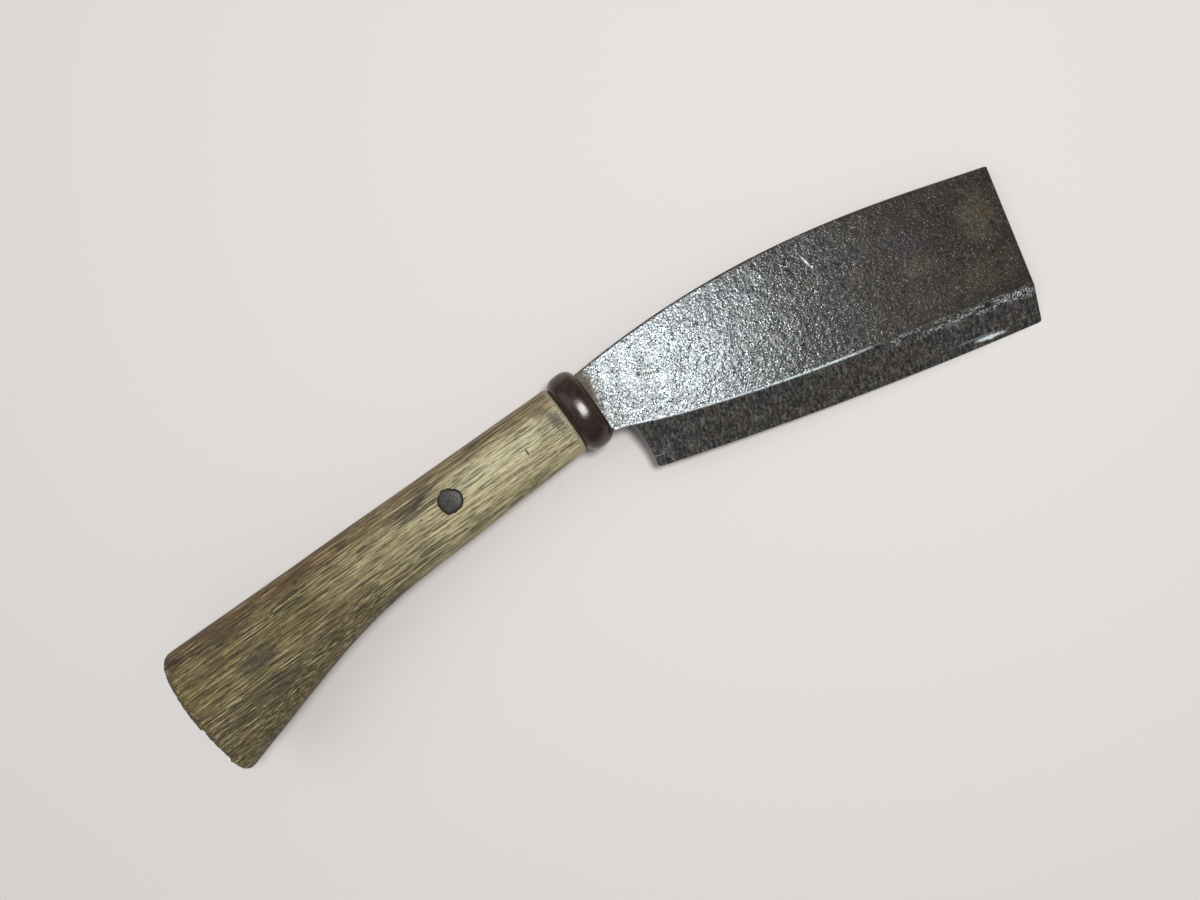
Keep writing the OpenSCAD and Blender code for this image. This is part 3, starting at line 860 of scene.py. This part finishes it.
def build_wood(tree, taken):
    """Straight ring-porous grain along X: a tone, dark open pores, and a height."""
    wide = streaked(tree, taken["Vector"], (0.035, 1.0, 1.0), 2.0, 0.6)
    fibre = streaked(tree, taken["Vector"], (0.07, 1.7, 1.7), 3.0, 0.75)
    years = streaked(tree, taken["Vector"], (0.006, 0.16, 0.12), 1.0)
    rings = calc(tree, "MULTIPLY_ADD", calc(tree, "SINE", times(tree, years, 60.0)), 0.5, 0.5)
    tone = calc(tree, "MULTIPLY_ADD", fibre, 0.8, times(tree, wide, 0.2))
    dashes = streaked(tree, taken["Vector"], (0.10, 2.2, 2.2), 2.0, 0.7)
    edge = calc(tree, "MULTIPLY_ADD", rings, -0.05, calc(tree, "SUBTRACT", 0.64, taken["Openness"]))
    pores = climb(tree, calc(tree, "SUBTRACT", dashes, edge), -0.015, 0.02)
    return {"Tone": tone, "Pores": pores, "Height": calc(tree, "MULTIPLY_ADD", pores, -0.6, tone)}


VECTOR = ("Vector", "Vector", (0, 0, 0))
CENTRE, SIZE = ("Centre", "Vector", (0, 0, 0)), ("Size", "Vector", (5, 5, 50))
spot = node_group("Worn spot", [VECTOR, CENTRE, SIZE, ("Detail", "Float", 0.4), ("Ragged", "Float", 1.2)],
                  ["Mask"], build_spot)
grit = node_group("Forged grit", [VECTOR, ("Size", "Float", 1.0)], ["Height", "Pits", "Glints"], build_grit)
rust = node_group("Rust and oxide", [VECTOR, ("Amount", "Float", 0.2)], ["Mask"], build_rust)
strokes = node_group("Grinding strokes", [VECTOR], ["Height", "Bright"], build_strokes)
grain = node_group("Straight oak grain", [VECTOR, ("Openness", "Float", 0.05)], ["Tone", "Pores", "Height"], build_wood)


def millimetres(tree, place):
    """Object coordinates turned into a frame of the tool, in millimetres."""
    back = place.inverted()
    settings = {"Scale": (1 / MM,) * 3, "Rotation": back.to_euler(), "Location": back.to_translation()}
    return node(tree, "Mapping", None, {"Vector": node(tree, "TexCoord").outputs["Object"], **settings}).outputs[0]


def new_material(name):
    """A material with its tree and an unlinked Principled BSDF."""
    material = bpy.data.materials.new(name)
    material.use_nodes = True
    tree = material.node_tree
    tree.nodes.clear()
    surface = node(tree, "BsdfPrincipled")
    output = node(tree, "OutputMaterial", None, {"Surface": surface.outputs[0]})
    output.is_active_output = True
    return material, tree, surface


def finish(tree, surface, color, roughness, metallic, height, strength, depth):
    """Feeds the Principled BSDF; depth is the relief of the height in millimetres."""
    bump = node(tree, "Bump", None, {"Strength": strength, "Distance": depth * MM, "Height": height})
    tree.links.new(color, surface.inputs["Base Color"])
    tree.links.new(roughness, surface.inputs["Roughness"])
    tree.links.new(bump.outputs[0], surface.inputs["Normal"])
    surface.inputs["Metallic"].default_value = metallic


def spots(tree, vector, base, patches):
    """Colours base with patches of (x, y, size x, size y, how strong, colour)."""
    for x, y, wide, high, strength, color in patches:
        mask = placed(tree, spot, Vector=vector, Centre=(x, y, 0), Size=(wide, high, 60))["Mask"]
        base = mixed(tree, times(tree, mask, strength), base, srgb(*color))
    return base


def attribute(tree, name):
    """A layer that the mesh carries, such as its pits or its grooves."""
    return node(tree, "Attribute", {"attribute_name": name}).outputs["Fac"]


def mottled(tree, color, height, dark, light, strength):
    """Darkens the hollows of a height and lightens its tops."""
    color = mixed(tree, climb(tree, height, 0.50, 0.36, 0.0, strength), color, srgb(*dark))
    return mixed(tree, climb(tree, height, 0.52, 0.67, 0.0, strength), color, srgb(*light))


def forged_skin():
    """The hammered flat: grey and bright by the neck, brown and dull at the tip, pitted all over."""
    material, tree, surface = new_material("forged blade skin")
    v = millimetres(tree, TOOL)
    x = node(tree, "SeparateXYZ", None, {0: v}).outputs[0]
    tip = climb(tree, x, 80, 145)
    fine = placed(tree, grit, Vector=v, Size=1.0)
    tone = noise_of(tree, v, 0.12, 4.0, 0.6)
    mottle = noise_of(tree, v, 0.8, 4.0, 0.75)
    color = mixed(tree, climb(tree, x, 45, 95), srgb(63, 69, 72), srgb(46, 47, 48))
    color = mixed(tree, tip, color, srgb(52, 41, 31))
    color = mixed(tree, climb(tree, tone, 0.35, 0.65, 0.0, 0.5), color, srgb(44, 41, 39))
    color = spots(tree, v, color, [
        (173, 17, 11, 15, 0.6, (92, 80, 58)), (144, 6, 10, 6, 0.45, (88, 74, 54)),
        (172, -4, 18, 9, 0.5, (78, 66, 50)), (158, -8, 26, 6, 0.4, (74, 62, 50)),
        (101, 15.6, 4.5, 3, 0.5, (82, 68, 52)), (117.4, 10.5, 4.5, 4, 0.5, (82, 68, 52)),
        (141, 17, 12, 10, 0.6, (50, 44, 45)), (151, 13, 9, 6, 0.5, (48, 42, 42)),
        (125, 22, 14, 8, 0.35, (56, 50, 48)), (178, 11, 1.8, 4.2, 0.8, (34, 30, 29)),
        (179, 29.5, 3, 2.4, 0.7, (36, 32, 30)), (168.7, 25.6, 3.4, 2.6, 0.65, (38, 33, 32)),
        (158, 1.5, 3.2, 2, 0.6, (40, 34, 31)), (174.7, -3.7, 3.2, 2.6, 0.65, (36, 31, 29)),
        (110.5, 30, 3.4, 2.2, 0.65, (38, 36, 36)), (93.4, 25, 3, 3.4, 0.6, (44, 42, 42)),
        (133, -8, 5, 2.2, 0.65, (38, 33, 31)), (164, 33, 16, 3.2, 0.5, (60, 50, 45)),
    ])
    coarse = noise_of(tree, v, 0.3, 3.0, 0.65)
    lively = times(tree, climb(tree, coarse, 0.40, 0.60, 0.45, 1.0), climb(tree, tip, 0, 1, 1.0, 0.75))
    color = mixed(tree, climb(tree, mottle, 0.50, 0.36, 0.0, 0.85), color, srgb(18, 15, 13))
    tops = times(tree, climb(tree, mottle, 0.53, 0.68, 0.0, 0.9), lively)
    color = mixed(tree, tops, color, srgb(104, 91, 76))
    color = mixed(tree, climb(tree, coarse, 0.46, 0.34, 0.0, 0.45), color, srgb(26, 23, 22))
    rusty = times(tree, placed(tree, rust, Vector=v, Amount=0.10)["Mask"], tip)
    color = mixed(tree, rusty, color, srgb(64, 52, 40))
    dark = calc(tree, "MAXIMUM", times(tree, attribute(tree, "pit"), 0.8), times(tree, fine["Pits"], 0.7))
    color = mixed(tree, dark, color, srgb(20, 18, 17))
    # Painted highlight: scattered white glints on the flat, fewer towards the tip
    painted_glints = times(tree, times(tree, fine["Glints"], lively), climb(tree, tip, 0, 1, 1.0, 0.45))
    color = mixed(tree, painted_glints, color, srgb(236, 240, 240))

    # A worn, brown strip by the ring, one long scratch, a lighter tan band along the rim, and a painted highlight along
    # the bevel line towards the neck
    away = placed(tree, spot, Vector=v, Centre=(3.2, 2, 0), Size=(5.4, 24, 60), Detail=1.1, Ragged=1.1)["Mask"]
    color = mixed(tree, times(tree, away, 0.8), color, srgb(92, 82, 64))
    scratch = placed(tree, spot, Vector=node(tree, "Mapping", {"vector_type": "TEXTURE"}, {
        "Vector": v, "Location": (102.2, 23.3, 0), "Rotation": (0, 0, math.radians(-65))}).outputs[0],
        Centre=(0, 0, 0), Size=(5.5, 0.42, 60), Detail=0.9, Ragged=0.5)["Mask"]
    color = mixed(tree, times(tree, scratch, 0.9), color, srgb(214, 214, 208))
    rim = climb(tree, attribute(tree, "inset"), 0.6, 0.25)
    color = mixed(tree, times(tree, rim, climb(tree, x, 60, 150, 0.2, 0.7)), color, srgb(142, 120, 98))
    # Painted highlight: a thin bright line along the bevel line, towards the neck
    ridge = times(tree, climb(tree, attribute(tree, "ridge"), 0.8, 0.3), climb(tree, x, 118, 100))
    color = mixed(tree, times(tree, ridge, climb(tree, mottle, 0.38, 0.48)), color, srgb(232, 240, 242))
    rough = calc(tree, "MULTIPLY_ADD", tone, 0.14, climb(tree, tip, 0, 1, 0.16, 0.27))
    rough = calc(tree, "MULTIPLY_ADD", calc(tree, "MAXIMUM", dark, away), 0.35, rough)
    surface.inputs["Specular IOR Level"].default_value = 0.38
    finish(tree, surface, color, rough, 0.4, fine["Height"], 1.0, 0.095)
    return material


def ground_bevel(name, polished):
    """The ground bevel: mottled and stroked, with a bare streak under its line and a polished one by the edge, and a
    painted highlight along its line towards the heel.
    """
    material, tree, surface = new_material(name)
    v = millimetres(tree, TOOL)
    x = node(tree, "SeparateXYZ", None, {0: v}).outputs[0]
    lines = placed(tree, strokes, Vector=v)
    fine = placed(tree, grit, Vector=v, Size=0.9)
    tone = noise_of(tree, v, 0.16, 4.0, 0.62)
    mottle = noise_of(tree, v, 0.75, 4.0, 0.75)
    color = mixed(tree, climb(tree, tone, 0.35, 0.65), srgb(58, 57, 60), srgb(72, 64, 54))
    color = spots(tree, v, color, [
        (30, -22, 14, 8, 0.5, (62, 59, 64)), (60, -26, 26, 6, 0.4, (72, 64, 50)),
        (100, -26, 20, 6, 0.5, (70, 59, 48)), (126, -24, 16, 5, 0.5, (76, 62, 50)),
        (150, -25, 12, 3, 0.55, (62, 66, 76)), (172, -24, 11, 5, 0.5, (82, 72, 70)),
    ])
    color = mottled(tree, color, lines["Height"], (24, 22, 22), (124, 120, 114), 0.85)
    color = mottled(tree, color, mottle, (18, 17, 16), (122, 116, 106), 0.75)
    below = attribute(tree, "ridge")
    band = times(tree, climb(tree, below, 5.4, 1.8), climb(tree, below, 0.2, 1.2))
    where = streaked(tree, v, (0.09, 0.3, 0.1), 3.0, 0.6)
    bare = times(tree, times(tree, band, climb(tree, x, 112, 134)), climb(tree, where, 0.41, 0.54))
    specks = noise_of(tree, v, 1.5, 3.0, 0.75)
    bare = times(tree, bare, climb(tree, calc(tree, "MULTIPLY_ADD", mottle, 0.6, specks), 0.80, 0.88))
    color = mixed(tree, bare, color, srgb(226, 226, 224))
    # Painted highlight: a thin bright line just under the bevel line, towards the heel
    ridge = times(tree, climb(tree, below, 0.9, 0.3), climb(tree, x, 122, 104))
    color = mixed(tree, times(tree, ridge, climb(tree, mottle, 0.38, 0.48)), color, srgb(228, 236, 238))
    if polished:
        color = spots(tree, v, color, [
            (163, -29.6, 9, 1.1, 1.0, (240, 243, 245)), (158, -28.3, 12, 0.9, 0.6, (140, 150, 158)),
        ])
    color = mixed(tree, times(tree, lines["Bright"], 0.3), color, srgb(140, 138, 132))
    color = mixed(tree, placed(tree, rust, Vector=v, Amount=0.10)["Mask"], color, srgb(74, 60, 48))
    dark = calc(tree, "MAXIMUM", attribute(tree, "pit"), times(tree, fine["Pits"], 0.5))
    color = mixed(tree, times(tree, dark, 0.85), color, srgb(32, 28, 27))
    height = calc(tree, "MULTIPLY_ADD", lines["Height"], 0.7, times(tree, fine["Height"], 0.5))
    finish(tree, surface, color, calc(tree, "MULTIPLY_ADD", tone, 0.2, 0.3), 0.4, height, 1.0, 0.13)
    return material


def flat_back(name, iron):
    """The back of the blade: dark forged iron above the weld, brighter stoned steel below it."""
    material, tree, surface = new_material(name)
    v = millimetres(tree, TOOL)
    lines = placed(tree, strokes, Vector=turned_over(tree, v, 83, (1.9, 1.5, 1.9)))
    fine = placed(tree, grit, Vector=v, Size=0.8)
    tone = noise_of(tree, v, 0.09, 4.0, 0.6)
    low, high = ((56, 53, 51), (74, 67, 59)) if iron else ((76, 76, 77), (100, 97, 92))
    amount, relief = (0.16, 0.09) if iron else (0.12, 0.05)
    color = mixed(tree, climb(tree, tone, 0.3, 0.7), srgb(*low), srgb(*high))
    color = mixed(tree, climb(tree, lines["Height"], 0.45, 0.7, 0.0, 0.35), color, srgb(122, 119, 114))
    rusty = times(tree, placed(tree, rust, Vector=v, Amount=amount)["Mask"], 0.8)
    color = mixed(tree, rusty, color, srgb(76, 58, 44))
    color = mixed(tree, times(tree, fine["Pits"], 0.8), color, srgb(34, 30, 28))
    rough = calc(tree, "MULTIPLY_ADD", tone, 0.25, 0.3)
    height = calc(tree, "MULTIPLY_ADD", lines["Height"], 0.5, fine["Height"])
    finish(tree, surface, color, rough, 0.55, height, 0.7, relief)
    return material


def weathered_oak():
    """Old oak, pale behind the ring and darker towards the butt, partly as painted shade, with open grain, stains and
    grey end grain.
    """
    material, tree, surface = new_material("weathered oak")
    v = millimetres(tree, HANDLE)
    place = node(tree, "SeparateXYZ", None, {0: v})
    back, across = times(tree, place.outputs[0], -1.0), place.outputs[1]
    lines = placed(tree, grain, Vector=v, Openness=0.055)
    groove = attribute(tree, "groove")
    broad = streaked(tree, v, (0.04, 0.16, 0.16), 4.0, 0.65)
    # Darker towards the butt: partly darker wood, partly painted shade of the light falling off towards the butt
    color = mixed(tree, climb(tree, back, 35, 130), srgb(198, 183, 140), srgb(122, 104, 60))
    # Painted shade: darker, browner bands along the spine side and the belly side, where the rounded handle turns from
    # the light
    color = mixed(tree, climb(tree, across, 5, 13, 0.0, 0.7), color, srgb(104, 72, 40))
    color = mixed(tree, climb(tree, across, -6, -22, 0.0, 0.45), color, srgb(96, 84, 58))
    color = mixed(tree, climb(tree, broad, 0.45, 0.72, 0.0, 0.45), color, srgb(98, 80, 46))
    # The three pale patches along the middle of the handle are painted highlight on its crown
    color = spots(tree, v, color, [
        (-36, 3, 34, 7, 0.4, (204, 194, 160)), (-100, -2, 26, 8, 0.25, (160, 142, 98)),
        (-162, -8, 12, 10, 0.3, (150, 134, 92)), (-128, -14, 16, 6, 0.4, (84, 72, 50)),
        (-100, -17, 20, 4, 0.5, (76, 62, 42)), (-72, 9, 16, 3, 0.3, (92, 72, 48)),
    ])
    streaks = times(tree, climb(tree, lines["Tone"], 0.48, 0.40, 0.0, 0.72), climb(tree, back, 90, 150, 1.0, 1.3))
    color = mixed(tree, streaks, color, srgb(62, 47, 24))
    color = mixed(tree, climb(tree, lines["Tone"], 0.54, 0.62, 0.0, 0.5), color, srgb(222, 208, 166))
    pores = times(tree, lines["Pores"], climb(tree, back, 60, 130, 0.55, 0.78))
    color = mixed(tree, pores, color, srgb(38, 29, 17))
    color = mixed(tree, times(tree, climb(tree, groove, 0.2, 0.7), 0.75), color, srgb(42, 33, 20))
    color = spots(tree, v, color, [
        (-10.8, 2.1, 3.6, 5.2, 0.75, (66, 61, 54)), (-14.5, 8.0, 4.2, 3.2, 0.55, (76, 68, 56)),
        (-26.6, -0.8, 0.6, 1.9, 0.9, (44, 38, 31)), (-151, -5, 11, 5.5, 0.55, (66, 61, 52)),
        (-150, -17, 15, 6, 0.45, (60, 53, 40)), (-156, 10.5, 18, 4, 0.45, (64, 52, 34)),
    ])
    chamfer = placed(tree, spot, Vector=v, Centre=(-7.3, 0, 0), Size=(1.9, 60, 90), Detail=0.7, Ragged=0.6)["Mask"]
    color = mixed(tree, times(tree, chamfer, 0.55), color, srgb(176, 164, 140))
    end = attribute(tree, "end_grain")
    ends = noise_of(tree, v, 1.6, 3.0, 0.7)
    color = mixed(tree, times(tree, end, climb(tree, ends, 0.56, 0.40, 0.25, 0.9)), color, srgb(58, 47, 32))
    rough = climb(tree, lines["Tone"], 0.35, 0.65, 0.55, 0.70)
    finish(tree, surface, color, rough, 0.0, lines["Height"], 1.0, 0.20)
    return material


def dark_iron(name, low, high, roughness, place, size, relief, rusty=0.16):
    """Handled forged iron: dark, brownish and smooth, with small pits."""
    material, tree, surface = new_material(name)
    v = millimetres(tree, place)
    fine = placed(tree, grit, Vector=v, Size=size)
    tone = noise_of(tree, v, 0.2, 4.0, 0.6)
    color = mixed(tree, climb(tree, tone, 0.3, 0.7), srgb(*low), srgb(*high))
    color = mixed(tree, placed(tree, rust, Vector=v, Amount=rusty)["Mask"], color, srgb(86, 58, 44))
    color = mixed(tree, times(tree, fine["Pits"], 0.7), color, srgb(24, 20, 18))
    rough = calc(tree, "MULTIPLY_ADD", tone, 0.2, roughness - 0.1)
    finish(tree, surface, color, rough, 0.2, fine["Height"], 0.6, relief)
    return material


# ---------------------------------------------------------------- the object

flat_points, iron_points, steel_points = blade_points()
skin = forged_skin()
make_blade([skin, ground_bevel("ground iron bevel", False), flat_back("iron back", True)])
make_edge([ground_bevel("hard steel edge", True), flat_back("stoned steel back", False)])
make_handle([weathered_oak()])
make_ring([dark_iron("ring iron", (41, 28, 26), (69, 49, 41), 0.25, HANDLE, 1.8, 0.05)])
make_pin([dark_iron("pin iron", (32, 29, 24), (55, 50, 42), 0.45, HANDLE, 0.9, 0.14, 0.02)])

# ---------------------------------------------------------------- stage, light and camera

floor_bm = bmesh.new()
bmesh.ops.create_grid(floor_bm, x_segments=2, y_segments=2, size=2.5)
floor_mesh = bpy.data.meshes.new("floor")
floor_bm.to_mesh(floor_mesh)
floor_bm.free()
floor = bpy.data.objects.new("floor", floor_mesh)
bpy.context.scene.collection.objects.link(floor)
floor_material, _, floor_surface = new_material("pale floor")
floor_surface.inputs["Base Color"].default_value = srgb(232, 223, 218)
floor_surface.inputs["Roughness"].default_value = 0.85
floor_mesh.materials.append(floor_material)


def area_light(name, size, watts, place, target, color):
    """A round soft light, turned to its target."""
    light = bpy.data.lights.new(name, "AREA")
    light.shape, light.size, light.energy, light.color = "DISK", size, watts, color
    lamp = bpy.data.objects.new(name, light)
    lamp.location = place
    lamp.rotation_euler = (Vector(place) - Vector(target)).to_track_quat("Z", "Y").to_euler()
    bpy.context.scene.collection.objects.link(lamp)


shine = TOOL @ Vector((25, 5, 3))
area_light("key", 0.30, 8.5, shine + Vector((0.191, 0.062, 0.979)) * 1.1, shine, (0.94, 0.985, 1.0))
area_light("fill", 1.4, 4.0, (-0.9, 0.5, 1.1), (0, 0, 0), (0.93, 0.97, 1.0))

world = bpy.data.worlds.new("studio")
world.use_nodes = True
world.node_tree.nodes["Background"].inputs[0].default_value = (0.92, 0.96, 1.0, 1.0)
world.node_tree.nodes["Background"].inputs[1].default_value = 0.26
bpy.context.scene.world = world
bpy.context.scene.view_settings.view_transform = "Standard"

camera_data = bpy.data.cameras.new("camera")
camera_data.lens, camera_data.sensor_width, camera_data.clip_start = 27.0, 36.0, 0.01
camera = bpy.data.objects.new("camera", camera_data)
camera.location = (-0.00232, 0.00626, 0.3618)
camera.rotation_euler = (0, 0, math.radians(-20.805))
bpy.context.scene.collection.objects.link(camera)
bpy.context.scene.camera = camera
